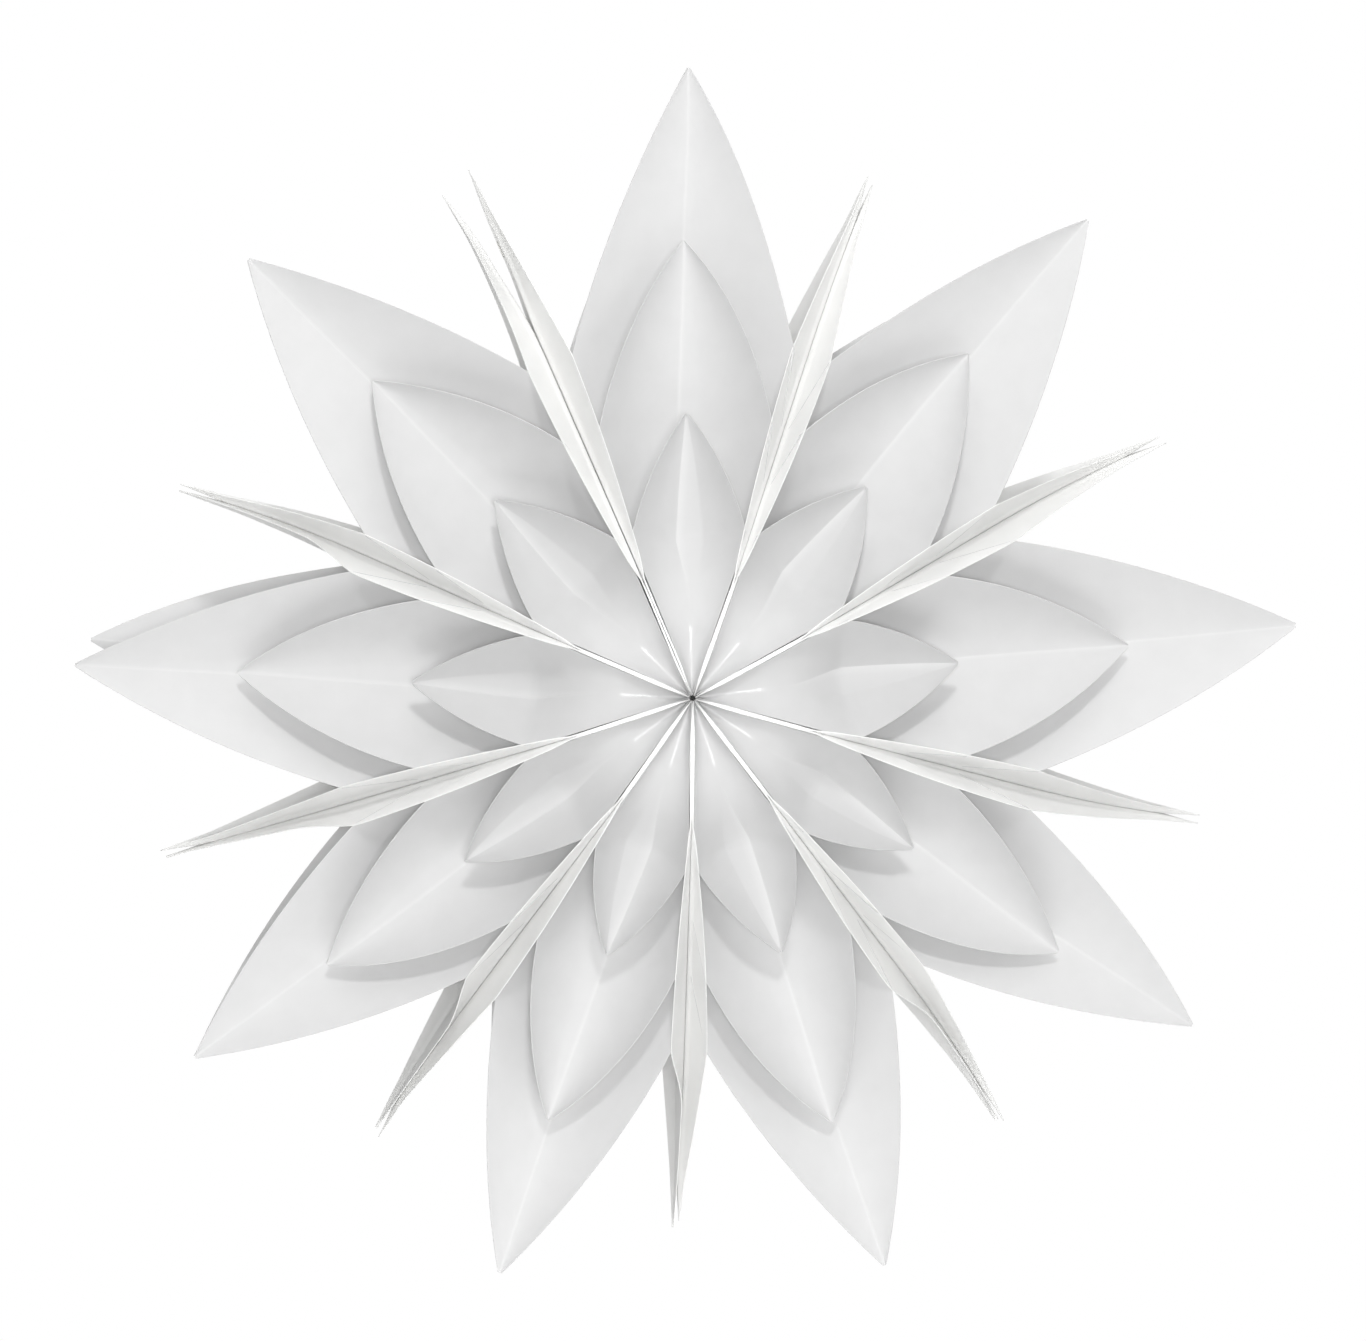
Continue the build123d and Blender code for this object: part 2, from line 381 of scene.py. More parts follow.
def coated_card(name, hex_colour, roughness, crease, glow):
    """Coated white card, calendered and scored: a satin sheet with faint fibre clouding and a paler score.

    glow is the share of light that comes through the sheet. Clouding is 14 mm wide as in the pulp. Fibre relief
    is 0.7 mm, drawn coarser than fibres so that it shows. crease adds the score, from 40 mm off the axis.
    """
    material, tree, shader = new_material(name)
    flat = node(tree, "ShaderNodeUVMap", {"uv_map": "flat_card"})
    cloud = node(tree, "ShaderNodeTexNoise", {"Scale": 1 / 0.014, "Detail": 4.0, "Roughness": 0.55},
                 {"Vector": (flat, "UV")})
    fibre = node(tree, "ShaderNodeTexNoise", {"Scale": 1 / 0.0007, "Detail": 3.0, "Roughness": 0.6},
                 {"Vector": (flat, "UV")})
    tone = node(tree, "ShaderNodeValToRGB", {}, {"Fac": (cloud, "Fac")},
                ((0.3, linear(hex_colour, 0.968)), (0.7, linear(hex_colour))))
    colour = (tone, "Color")
    if crease:
        across = node(tree, "ShaderNodeSeparateXYZ", {}, {"Vector": (flat, "UV")})
        away = node(tree, "ShaderNodeMath", {"operation": "ABSOLUTE"}, {0: (across, "Y")})
        along = node(tree, "ShaderNodeMapRange", {"From Min": 0.04, "From Max": 0.08, "To Max": 0.1},
                     {"Value": (across, "X")})
        score = node(tree, "ShaderNodeMapRange", {"From Min": 0.0002, "From Max": 0.0009, "To Max": 0.0},
                     {"Value": (away, 0), "To Min": (along, "Result")})
        # Sockets 0, 6 and 7 of a colour mix are its factor and its two colours, and output 2 its result
        worn = node(tree, "ShaderNodeMix", {"data_type": "RGBA", 7: (0.94, 0.94, 0.935, 1.0)},
                    {0: (score, "Result"), 6: colour})
        colour = (worn, 2)
    sheen = node(tree, "ShaderNodeMapRange", {"To Min": roughness - 0.05, "To Max": roughness + 0.07},
                 {"Value": (cloud, "Fac")})
    tree.links.new(sheen.outputs["Result"], shader.inputs["Roughness"])
    relief = node(tree, "ShaderNodeBump", {"Strength": 0.06, "Distance": 0.00008}, {"Height": (fibre, "Fac")})
    dress(tree, shader, colour, relief, {"IOR": 1.5, "Coat Weight": 0.35, "Coat Roughness": 0.12})
    through = node(tree, "ShaderNodeBsdfTranslucent", {"Color": linear(hex_colour)})
    sheet = node(tree, "ShaderNodeMixShader", {"Fac": glow}, {1: (shader, "BSDF"), 2: (through, "BSDF")})
    tree.links.new(sheet.outputs["Shader"], tree.nodes["Material Output"].inputs["Surface"])
    return material


def enamelled_metal():
    """Brass eyelet, pressed and enamelled white: a hard gloss with a slight orange-peel of 1.2 mm, its dips painted a
    little darker as shade.
    """
    material, tree, shader = new_material("enamelled_brass")
    place = node(tree, "ShaderNodeTexCoord")
    peel = node(tree, "ShaderNodeTexNoise", {"Scale": 1 / 0.0012, "Detail": 2.0}, {"Vector": (place, "Object")})
    # Painted shade: the dips of the orange-peel are painted up to a tenth darker
    tone = node(tree, "ShaderNodeValToRGB", {}, {"Fac": (peel, "Fac")},
                ((0.0, linear(colours().eyelet, 0.9)), (1.0, linear(colours().eyelet))))
    relief = node(tree, "ShaderNodeBump", {"Strength": 0.15, "Distance": 0.00005}, {"Height": (peel, "Fac")})
    dress(tree, shader, (tone, "Color"), relief, {"Roughness": 0.22, "IOR": 1.52})
    return material


def moulded_hooks():
    """Nylon hook tape: rows of small hooks, 1.1 mm apart, on a matt base that is painted darker between the hooks as
    shade in the hollows.
    """
    material, tree, shader = new_material("nylon_hook_tape")
    flat = node(tree, "ShaderNodeUVMap", {"uv_map": "flat_card"})
    hooks = node(tree, "ShaderNodeTexVoronoi", {"Scale": 1 / 0.0011, "Randomness": 0.25}, {"Vector": (flat, "UV")})
    # Painted shade: the base between the raised hooks is painted 0.62 times as light as the hooks
    tone = node(tree, "ShaderNodeValToRGB", {}, {"Fac": (hooks, "Distance")},
                ((0.0, linear(colours().hook_tape)), (1.0, linear(colours().hook_tape, 0.62))))
    relief = node(tree, "ShaderNodeBump", {"Strength": 0.8, "Distance": 0.0005, "invert": True},
                  {"Height": (hooks, "Distance")})
    dress(tree, shader, (tone, "Color"), relief, {"Roughness": 0.55})
    return material


def napped_loops():
    """Nylon loop tape: a brushed nap of fine loops, about 0.5 mm, soft and matt, painted darker in the low parts of
    the nap as shade.
    """
    material, tree, shader = new_material("nylon_loop_tape")
    flat = node(tree, "ShaderNodeUVMap", {"uv_map": "flat_card"})
    nap = node(tree, "ShaderNodeTexNoise", {"Scale": 1 / 0.0005, "Detail": 6.0, "Distortion": 1.4},
               {"Vector": (flat, "UV")})
    # Painted shade: where the nap's relief is lower the colour is painted darker, down to 0.7 times as light
    tone = node(tree, "ShaderNodeValToRGB", {}, {"Fac": (nap, "Fac")},
                ((0.3, linear(colours().loop_tape, 0.7)), (1.0, linear(colours().loop_tape))))
    relief = node(tree, "ShaderNodeBump", {"Strength": 0.9, "Distance": 0.0004}, {"Height": (nap, "Fac")})
    dress(tree, shader, (tone, "Color"), relief, {"Roughness": 0.9, "Sheen Weight": 0.4})
    return material


def card_material(kind):
    """The card finish of a kind, made once: pages let more light through than the leaves do, and the leaf cards carry
    painted shade, darker than the page card and darkest on the small leaves.
    """
    made = bpy.data.materials.get(f"coated_card_{kind}")
    if made:
        return made
    if kind == "page":
        return coated_card("coated_card_page", colours().page_card, 0.36, False, 0.25)
    # Each leaf size takes its own card colour, painted darker as shade
    return coated_card(f"coated_card_{kind}", getattr(colours(), f"{kind}_card"), 0.4, True, 0.07)


# Leaves


class Leaf(NamedTuple):
    """Shape of one size of leaf, with lengths in mm."""

    axis_depth: float  # depth of the crease's line at the axis
    inner: float  # radius at which the sheet begins
    tip_radius: float
    tip_depth: float
    share: float  # place of the seat along the flap's edge
    bow: float  # bow of the outer edge
    cup: tuple  # power of the section near the axis and at the tip
    cup_until: tuple  # shares of the length between which it changes
    keel: float  # sinking of the crease as a share of the width
    trough: float = 0.0  # levelling of the crease near the axis
    dip: float = 0.0  # lowering of the edges there
    lead_in: float = 0.0  # room between the edges and the page there


LEAVES = {
    "small": Leaf(86.0, 1.4, 137.0, 57.0, 0.205, 3.4, (2.0, 1.6), (0.3, 0.7), 0.45, 0.2117, 4.5, 0.7),
    "medium": Leaf(44.0, 14.0, 222.0, 45.0, 0.665, 6.9, (1.15, 1.55), (0.35, 0.6), 0.1),
    "large": Leaf(36.0, 14.0, 305.0, 40.0, 1.0, 5.5, (1.15, 1.45), (0.3, 0.55), 0.06),
}
# Hand-folded, no two leaves lie alike: each sector's lean of the tip in degrees and its reach in mm
LEANS = {
    "small": (-0.6, 0.1, 0.1, -0.5, 1.1, 0.1, 0.1, 0.0, -0.1),
    "medium": (-0.8, 1.0, -0.3, -1.0, 0.0, -0.3, 0.6, -0.2, 0.1),
    "large": (-1.37, 0.33, -0.25, 0.56, 0.5, -0.06, 0.05, -0.09, 0.3),
}
REACHES = {
    "small": (1.4, -2.4, -3.0, -2.3, -1.4, -2.1, 0.8, -0.3, -1.7),
    "medium": (1.7, -3.6, -0.8, 4.3, 4.3, 1.5, 1.4, 0.6, -2.8),
    "large": (4.0, 3.0, 2.3, -0.1, -0.1, -0.2, -1.0, -2.1, -0.6),
}
# Further lean of the large leaves at the back
REAR_LEANS = (-1.3, -1.3, 0.0, 0.0, 0.0, 1.3, 0.1, -1.7, 0.4)
# The free edges wave by this many mm and turn through this many radians, each leaf and each half out of step
RIPPLE, RIPPLE_TURN = 0.5, 9.0
RIPPLE_STEPS = {"small": 0.0, "medium": 2.1, "large": 4.4, "sector": 1.7, "half": 2.3}
# Nearer the axis than this, in mm, the crease melts into a trough, which is level up to its end
CREASE_START, TROUGH_END = 46.0, 38.0
# Along the crease in mm: where the edges leave the page, where they come back, and how far the dip reaches
LEAD_IN, LEAD_OUT, DIP_REACH = (4.0, 30.0), (55.0, 85.0), 14.0
# Shares of the length between which the keel sets in, and of the tip's radius between which a leaf leans
KEEL_RISE, LEAN_RISE = (0.3, 0.6), (0.45, 1.0)


def leaf_half(leaf, half_angle, wave_step):
    """One half of a leaf as a grid over its length and its width, in mm along the sector's axes.

    The flat half runs from the crease, t = 0, to the edge that seats on the page's flap, t = 1. Its section
    follows t to a power instead of t, so the leaf is cupped: where the power is high the crease melts into a
    trough with steep sides. The keel sinks the crease by a share of the width. A sine of the length, shifted by
    wave_step, waves the free edge a little.
    """
    s = sizes()
    fold = PageFold()
    turn, half_angle = math.radians(flap_turn(half_angle)), math.radians(half_angle)
    seam = np.array([math.cos(half_angle), math.sin(half_angle), 0.0])
    inward = np.array([math.sin(half_angle), -math.cos(half_angle), 0.0])
    front = np.array([0.0, 0.0, 1.0])
    along = seam * fold.along[0] + front * fold.along[1]
    out = (seam * fold.out[0] + front * fold.out[1]) * math.cos(turn) + inward * math.sin(turn)
    flap_normal = np.cross(along, out)
    page_face = s.card + s.clearance
    seat = np.array([np.interp(leaf.share, np.linspace(0, 1, len(fold.edge)), fold.edge[:, k]) for k in (0, 1)])
    start = seam * fold.start[0] + front * fold.start[1]
    corner = start + along * seat[0] + out * (seat[1] - s.leaf_seat) + flap_normal * page_face
    apex = np.array([0.0, 0.0, leaf.axis_depth])
    tip = np.array([leaf.tip_radius, 0.0, leaf.tip_depth])
    crease = np.linalg.norm(tip - apex)
    length_way = (tip - apex) / crease
    normal = np.cross(length_way, corner - apex)
    normal /= np.linalg.norm(normal)
    width_way = np.cross(normal, length_way)
    corner_x, corner_y = (corner - apex) @ length_way, (corner - apex) @ width_way

    def beside(x, face_normal, face_point):
        """Width at x at which the flat half meets a plane."""
        return (face_point - apex - length_way * x) @ face_normal / (width_way @ face_normal)

    # The edge follows the page, bends onto the flap, and bows from the seat's corner to the tip
    inner = crease * leaf.inner / leaf.tip_radius
    inner_y = beside(inner, inward, inward * page_face)
    page_slope = (beside(corner_x, inward, inward * page_face) - inner_y) / (corner_x - inner)
    flap_slope = (corner_y - beside(inner, flap_normal, corner)) / (corner_x - inner)
    bend_x = corner_x - (inner_y + page_slope * (corner_x - inner) - corner_y) / (page_slope - flap_slope)
    bend_y = inner_y + page_slope * (bend_x - inner)
    arc = bowed_edge((corner_x, corner_y), (crease, s.leaf_tip_half_width), leaf.bow, 241)
    least_width = 0.2
    edge_x = np.concatenate([[inner, bend_x], arc[:, 0]])
    edge_y = np.concatenate([[max(inner_y, least_width), bend_y], arc[:, 1]])

    rising = np.linspace(inner, corner_x, 27)
    falling = corner_x + (crease - corner_x) * np.sin(np.linspace(0, math.pi / 2, 34))[1:]
    x = np.concatenate([rising, falling])[:, None]
    t = np.linspace(0, 1, LEAF_COLUMNS)
    share = x / crease
    lead_in = leaf.lead_in * ramp(x, *LEAD_IN) * (1 - ramp(x, *LEAD_OUT))
    width = np.maximum(np.interp(x, edge_x, edge_y) - lead_in, least_width)
    near, far = leaf.cup
    power = near + (far - near) * ramp(share, *leaf.cup_until)
    tilt = math.sqrt(max(1 / max(width_way[1], 1e-6) ** 2 - 1, 0.0))
    wave = RIPPLE * ramp(x, corner_x, crease) * np.sin(share * RIPPLE_TURN + wave_step)
    depth = (t ** power - t) * width * tilt + wave * t ** 2
    depth = depth - (1 - t) * leaf.keel * width * ramp(share, *KEEL_RISE)
    points = apex + x[..., None] * length_way + (t * width)[..., None] * width_way + depth[..., None] * normal
    level = leaf.trough * np.maximum(TROUGH_END - x, 0.0)
    dip = leaf.dip * np.exp(-((points[..., 0] / DIP_REACH) ** 2))
    points[..., 2] -= level * (1 - t ** 2) + dip * t ** 2
    return points, np.stack(np.broadcast_arrays(x, t * width), -1)


def make_leaves(kind, sector):
    """A creased leaf across a sector's front and its twin at the back, as two closed sheets of card."""
    leaf = LEAVES[kind]
    _, middle, _, half_angle = sector_span(sector)
    step = RIPPLE_STEPS[kind] + sector * RIPPLE_STEPS["sector"]
    lead, flat = leaf_half(leaf, half_angle, step)
    trail, _ = leaf_half(leaf, half_angle, step + RIPPLE_STEPS["half"])
    trail = trail * np.array([1.0, -1.0, 1.0])
    whole = np.concatenate([lead[:, ::-1], trail[:, 1:]], axis=1)
    spread = np.concatenate([flat[:, ::-1], flat[:, 1:] * np.array([1.0, -1.0])], axis=1)
    rows, columns = whole.shape[:2]
    swing = ramp(whole[..., 0] / leaf.tip_radius, *LEAN_RISE)
    whole[..., 1] += swing * leaf.tip_radius * math.radians(LEANS[kind][sector])
    whole[..., 0] += swing * REACHES[kind][sector]
    crease = np.arange(rows) * columns + LEAF_COLUMNS - 1
    crease = crease[whole[:, LEAF_COLUMNS - 1, 0] > CREASE_START]
    crease_edges = np.stack([crease[:-1], crease[1:]], -1)
    parts, faces, sharp, count = [], [], [], 0
    for side in (1.0, -1.0):
        sheet = whole * np.array([1.0, 1.0, side])
        if side < 0 and kind == "large":
            sheet[..., 1] += swing * leaf.tip_radius * math.radians(REAR_LEANS[sector])
        shell, quads, rim, flat = card_shell(sheet, spread, sizes().card, np.array([0.0, 0.0, side]))
        parts.append(shell)
        faces.append(quads + count)
        sharp.extend([rim + count, crease_edges + count, crease_edges + rows * columns + count])
        count += len(shell)
    piece = make_piece(f"sector_{sector + 1}_{kind}_leaf_cards", to_frame(np.vstack(parts), middle),
                       np.vstack(faces).tolist(), np.vstack(sharp), np.tile(flat, (2, 1)),
                       card_material(f"{kind}_leaf"))
    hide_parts(f"sector_{sector + 1}_{kind}_leaves")
    bend_between_pages(piece, sector)


# Pages


# Sideways swing of each seam's spike in mm, 100 mm past the flap's corner
SPIKE_LEANS = (2.5, -3.4, -6.3, 6.7, -5.7, -2.1, 2.2, -1.0, 7.4, 10.9)
# Share by which a page's front flap is pressed shut along its spike, by the page's number
SPIKE_PRESSES = {8: 0.8, 10: 0.85, 12: 0.8, 13: 0.5, 15: 0.7}
# The first page's spike is longer than the others by this share
FIRST_STRETCH = 0.028
# Radii in mm between which glued spikes part, front flaps are pressed, spikes are drawn out and closing pages part
FORK_RISE, PRESS_RISE, STRETCH_RISE, CLOSING_FALL = (244.0, 278.0), (174.0, 208.0), (200.0, 276.0), (190.0, 230.0)
# The edges are drawn in to the axis by this many mm, between these depths, and fade with this distance
DRAWN_IN, DRAWN_IN_RISE, DRAWN_IN_FADE = 8.7, (32.0, 42.0), 9.0
# Extra thickness of the rolled edge in mm, and the most that the card may be thick for each mm off the axis
ROLLED_EDGE, AXIS_TAPER = 0.55, 0.058


def spike_swing(radius, lean):
    """Sideways swing of a spike: the square of the way past the flap's corner, in tenths of a metre."""
    return lean * np.clip((radius - 176.0) / 100.0, 0.0, 1.2) ** 2


def page_grid(fold):
    """Radii and depths of the front half of a flat page, close together at the fold and the spike."""
    s = sizes()
    way = np.concatenate([np.linspace(0, 0.2, 13)[:-1], np.linspace(0.2, 0.85, 34)[:-1], np.linspace(0.85, 1, 14)])
    radius = (s.spine_radius + (s.page_tip_radius - s.spine_radius) * way)[:, None]
    edge = fold.edge_depth(radius)
    inside = np.where(radius < s.flap_start_radius, s.page_half_depth - 12.0,
                      fold.fold_depth(radius) - 0.55 * s.fold_softness)
    inside = np.maximum(inside, edge * 0.45)
    within, beyond = np.linspace(0, 1, 6)[:-1], np.linspace(0, 1, 15)
    return radius, np.concatenate([inside * within, inside + (edge - inside) * beyond], axis=1), edge


def flap_profile(turn):
    """Section across the fold: distance out in the flat sheet, and how far on and how far aside it then lies.

    The sheet turns by the angle turn, eased over the fold's softness, and a strip beside the fold by the lift
    more. The section is the running sum of the cosine and sine of that angle.
    """
    s = sizes()
    soft = s.fold_softness / 2
    out = np.linspace(-soft, 60.0, 1200)
    lift = s.fold_lift * (turn / s.flap_angle) ** 4 * (1 - ramp(out, 1.5, 4.5))
    angle = np.radians((turn + lift) * ramp(out, -soft, soft))
    middle = (angle[1:] + angle[:-1]) / 2
    forward = -soft + np.concatenate([[0.0], np.cumsum(np.cos(middle))]) * (out[1] - out[0])
    aside = np.concatenate([[0.0], np.cumsum(np.sin(middle))]) * (out[1] - out[0])
    return out, forward, aside


def page_sheet(side, fork, stretch, lean, closing, turn, press):
    """The seam face of one page as a grid over radius and depth, in mm along the seam's axes.

    The flat page reaches from the spine to the spike, and past the fold line it follows the flap's section. side
    is +1 clockwise of the seam. At the closing seam the fold line moves over by closing for each mm of radius, so
    that the two pages meet. The spike parts from its neighbour by fork and swings by lean, and its front flap is
    shut by the share press. Also gives the flat grid and the thickness, with the edge near the axis rolled.
    """
    s = sizes()
    fold = PageFold()
    radius, depth, edge = page_grid(fold)
    flat = np.stack(np.broadcast_arrays(radius, depth), -1)
    along, out = np.moveaxis(fold.flap_of(flat), -1, 0)
    profile, forward, aside = flap_profile(turn)
    past = (out > profile[0]) & (radius > s.flap_start_radius)
    moved = np.where(past, np.interp(out, profile, forward), out)
    bent = fold.start + along[..., None] * fold.along + moved[..., None] * fold.out
    turned = np.where(past, np.interp(out, profile, aside), 0.0)
    # Where the closing pages meet: full at the fold line, none at the flap's edge and along the spike
    flap_width = np.maximum(fold.flap_of(np.concatenate([radius, edge], axis=1))[:, 1:], 4.0)
    inner_share = np.clip(1 - np.maximum(out, 0.0) / flap_width, 0, 1) * ramp(out, -18.0, -6.0)
    meeting = np.maximum(radius - 14.0, 0.0) * (1 - ramp(radius, *CLOSING_FALL))
    turned = turned - closing * meeting * inner_share + fork * ramp(radius, *FORK_RISE) ** 1.5
    pressed = turned * (1 - press * ramp(radius, *PRESS_RISE))
    drawn_in = DRAWN_IN * ramp(depth, *DRAWN_IN_RISE) * np.exp(-(radius - s.spine_radius) / DRAWN_IN_FADE)
    r = bent[..., 0] * (1 + stretch * ramp(radius, *STRETCH_RISE)) - drawn_in
    swing = spike_swing(radius, lean)
    back = np.stack([r, swing - side * (turned + SEAM_GAP), -bent[..., 1]], -1)
    front = np.stack([r, swing - side * (pressed + SEAM_GAP), bent[..., 1]], -1)
    rolled = ramp(depth, s.page_half_depth - 3.0, s.page_half_depth) * ramp(r, 2.0, 14.0)
    rolled = rolled * (1 - ramp(radius, s.flap_start_radius, s.flap_start_radius + 30.0))
    # Near the axis the card is pressed thin enough for the narrowest sector to fold
    thickness = np.minimum(s.card + ROLLED_EDGE * rolled, AXIS_TAPER * r - SEAM_GAP)
    halves = ((back, front), (flat * np.array([1.0, -1.0]), flat), (thickness, thickness))
    return tuple(np.concatenate([behind[:, :0:-1], before], axis=1) for behind, before in halves)


def round_opening(sheet, spread, row, column, lean, side):
    """Moves the eight grid points round one onto a circle under the eyelet's flange."""
    steps = np.array([(-1, -1), (-1, 0), (-1, 1), (0, 1), (1, 1), (1, 0), (1, -1), (0, -1)])
    ring = steps / np.linalg.norm(steps, axis=1, keepdims=True) * (sizes().eyelet_bore + 1.0)
    radius, depth = sizes().eyelet_distance + ring[:, 0], ring[:, 1]
    at = (row + steps[:, 0], column + steps[:, 1])
    sheet[at] = np.stack([radius, spike_swing(radius, lean) - side * SEAM_GAP, depth], -1)
    spread[at] = np.stack([radius, depth], -1)


def open_hole(points, faces, sharp, flat, columns, centre):
    """Takes out the quads round one grid point on both sides of a sheet and walls the opening."""
    count = len(points) // 2
    ring = centre + np.array([-columns - 1, -columns, 1 - columns, 1, columns + 1, columns, columns - 1, -1])
    following = np.roll(ring, -1)
    wall = np.stack([ring, following, following + count, ring + count], -1)
    gone = [centre, centre + count]
    faces = faces[~np.isin(faces, gone).any(axis=1)]
    if ((faces == ring[0]) & (np.roll(faces, -1, axis=1) == following[0])).any():
        wall = wall[:, ::-1]
    edges = np.stack([ring, following], -1)
    places = np.arange(2 * count)
    places = places - (places > centre) - (places > centre + count)
    return (np.delete(points, gone, 0), places[np.vstack([faces, wall])],
            places[np.vstack([sharp, edges, edges + count])], np.delete(flat, gone, 0))


def make_page(sector, which):
    """One page of a sector as a closed sheet of card, riding on its own body.

    Its spike's fork and length differ a little, as a sine of the page's number.
    """
    leading, _, trailing, half_angle = sector_span(sector)
    first = which == "leading"
    side, angle, seam = (1.0, leading, sector) if first else (-1.0, trailing, sector + 1)
    number = 2 * sector + (0 if first else 1)
    fork = sizes().spike_fork * (0.9 + 0.55 * math.sin(number * 2.4))
    stretch = -0.006 + 0.008 * math.sin(number * 1.9 + 0.6) + (FIRST_STRETCH if number == 0 else 0.0)
    lean = SPIKE_LEANS[seam]
    closing = closing_slope() if seam in (0, SECTORS) else 0.0
    sheet, spread, thickness = page_sheet(side, fork, stretch, lean, closing, flap_turn(half_angle),
                                          SPIKE_PRESSES.get(number, 0.0))
    columns = spread.shape[1]
    column = columns // 2
    row = np.argmin(np.abs(spread[:, column, 0] - sizes().eyelet_distance))
    if closing:
        round_opening(sheet, spread, row, column, lean, side)
    shell, quads, rim, flat = card_shell(sheet, spread, thickness, np.array([0.0, -side, 0.0]))
    if closing:
        shell, quads, rim, flat = open_hole(shell, quads, rim, flat, columns, row * columns + column)
    piece = make_piece(f"sector_{sector + 1}_{which}_page_card", to_frame(shell, angle), quads.tolist(), rim, flat,
                       card_material("page"))
    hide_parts(f"sector_{sector + 1}_{which}_page")
    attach(piece, BODY_OF[f"sector_{sector + 1}_{which}_page"])


def make_spine_fold(sector):
    """The strip at the spine between a sector's two pages: a grid over angle and depth, bulged at mid height."""
    s = sizes()
    _, middle, _, half_angle = sector_span(sector)
    half = math.radians(half_angle) - s.clearance / 2 / s.spine_radius
    angle = np.linspace(-half, half, 17)[:, None]
    depth = np.linspace(-s.spine_half_depth, s.spine_half_depth, 13)[None, :]
    bulge = 0.5 * (1 - (angle / half) ** 2)
    outer = s.spine_radius - s.clearance - bulge
    grid = np.stack(np.broadcast_arrays(outer * np.cos(angle), outer * np.sin(angle), depth), -1)
    spread = np.stack(np.broadcast_arrays(angle * s.spine_radius, depth), -1)
    shell, quads, rim, flat = card_shell(grid, spread, s.card, np.array([-1.0, 0.0, 0.0]))
    piece = make_piece(f"sector_{sector + 1}_spine_strip", to_frame(shell, middle), quads.tolist(), rim, flat,
                       card_material("page"))
    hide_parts(f"sector_{sector + 1}_spine_fold")
    bend_between_pages(piece, sector)


# Fittings


def turned_piece(profile, place, closed, slope):
    """A profile of radius and height turned about an axis square to the page, 48 steps to the circle.

    A closed profile is a ring's; an open one starts and ends on the axis, and its end rings become caps. place
    is radius, height off the seam and depth of the middle, in mm; slope is the page's lean there.
    """
    profile = np.asarray(profile, float)
    turn = np.linspace(0, 2 * math.pi, 48, endpoint=False)[:, None]
    if not closed:
        profile = profile[1:-1]
    radius, height = profile.T
    points = np.stack(np.broadcast_arrays(radius * np.cos(turn), -height, radius * np.sin(turn)), -1)
    grid = np.arange(points.shape[0] * points.shape[1]).reshape(points.shape[:2])
    ring = np.concatenate([grid, grid[:, :1]], axis=1) if closed else grid
    nxt = np.roll(ring, -1, axis=0)
    faces = [np.stack([ring[:, :-1], nxt[:, :-1], nxt[:, 1:], ring[:, 1:]], -1).reshape(-1, 4)]
    if not closed:
        faces.append(np.stack([grid[::-1, 0], grid[:, -1]]))
    points = points.reshape(-1, 3)
    points[:, 1] += slope * points[:, 0]
    return points + np.asarray(place, float) * np.array([1.0, -1.0, 1.0]), faces


def make_turned(name, profile, angle, places, closed, slope, material, replaced):
    """One object of turned pieces on a page, riding on the body of the node it replaces."""
    points, faces, count = [], [], 0
    for place in places:
        made, corners = turned_piece(profile, place, closed, slope)
        points.append(made)
        for group in corners:
            faces.extend((group + count).tolist())
        count += len(made)
    points = np.vstack(points)
    piece = make_piece(name, to_frame(points, angle), faces, None, points[:, [0, 2]], material)
    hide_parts(replaced)
    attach(piece, BODY_OF[replaced])


def eyelet_profile():
    """Section of an eyelet: a thin barrel whose two ends roll outwards into flanges."""
    s = sizes()
    lip, wall, rounding = 0.4, 0.6, 0.5
    bore, face = s.eyelet_bore, s.card / 2
    roll = np.linspace(-math.pi / 2, math.pi / 2, 7)
    turn = np.linspace(math.pi / 2, 0, 5)
    upper = np.stack([s.eyelet_flange - lip / 2 + lip / 2 * np.cos(roll), face + lip / 2 + lip / 2 * np.sin(roll)], -1)
    shoulder = np.stack([bore + rounding * (1 - np.cos(turn)), face + lip - rounding * (1 - np.sin(turn))], -1)
    top = np.vstack([[[bore + wall, face]], upper, shoulder])
    return np.vstack([top, top[::-1] * np.array([1.0, -1.0])])


def dot_profile(thickness):
    """Section of a fastener dot: a disc with a rounded shoulder, from the page out to its face."""
    radius, rounding = sizes().dot_radius, 0.5
    turn = np.linspace(0, math.pi / 2, 6)
    shoulder = np.stack([radius - rounding * (1 - np.cos(turn)), thickness - rounding * (1 - np.sin(turn))], -1)
    rings = np.stack([np.linspace(radius - 1.0, 0.8, 6), np.full(6, thickness)], -1)
    return np.vstack([[[0.0, 0.0]], [[radius, 0.0]], shoulder, rings, [[0.0, thickness]]])


# Operators


class STAR_OT_leaves(bpy.types.Operator):
    """Make the nine pairs each of small, medium and large leaves"""

    bl_idname = "star.leaves"
    bl_label = "Leaves"

    def execute(self, context):
        for kind in LEAVES:
            for sector in range(SECTORS):
                make_leaves(kind, sector)
        return {"FINISHED"}


class STAR_OT_pages(bpy.types.Operator):
    """Make the eighteen pages with their flaps and spikes"""

    bl_idname = "star.pages"
    bl_label = "Pages"

    def execute(self, context):
        for sector in range(SECTORS):
            make_page(sector, "leading")
            make_page(sector, "trailing")
        return {"FINISHED"}


class STAR_OT_spine_strips(bpy.types.Operator):
    """Make the strips that join each sector's pages at the spine"""

    bl_idname = "star.spine_strips"
    bl_label = "Spine strips"

    def execute(self, context):
        for sector in range(SECTORS):
            make_spine_fold(sector)
        return {"FINISHED"}


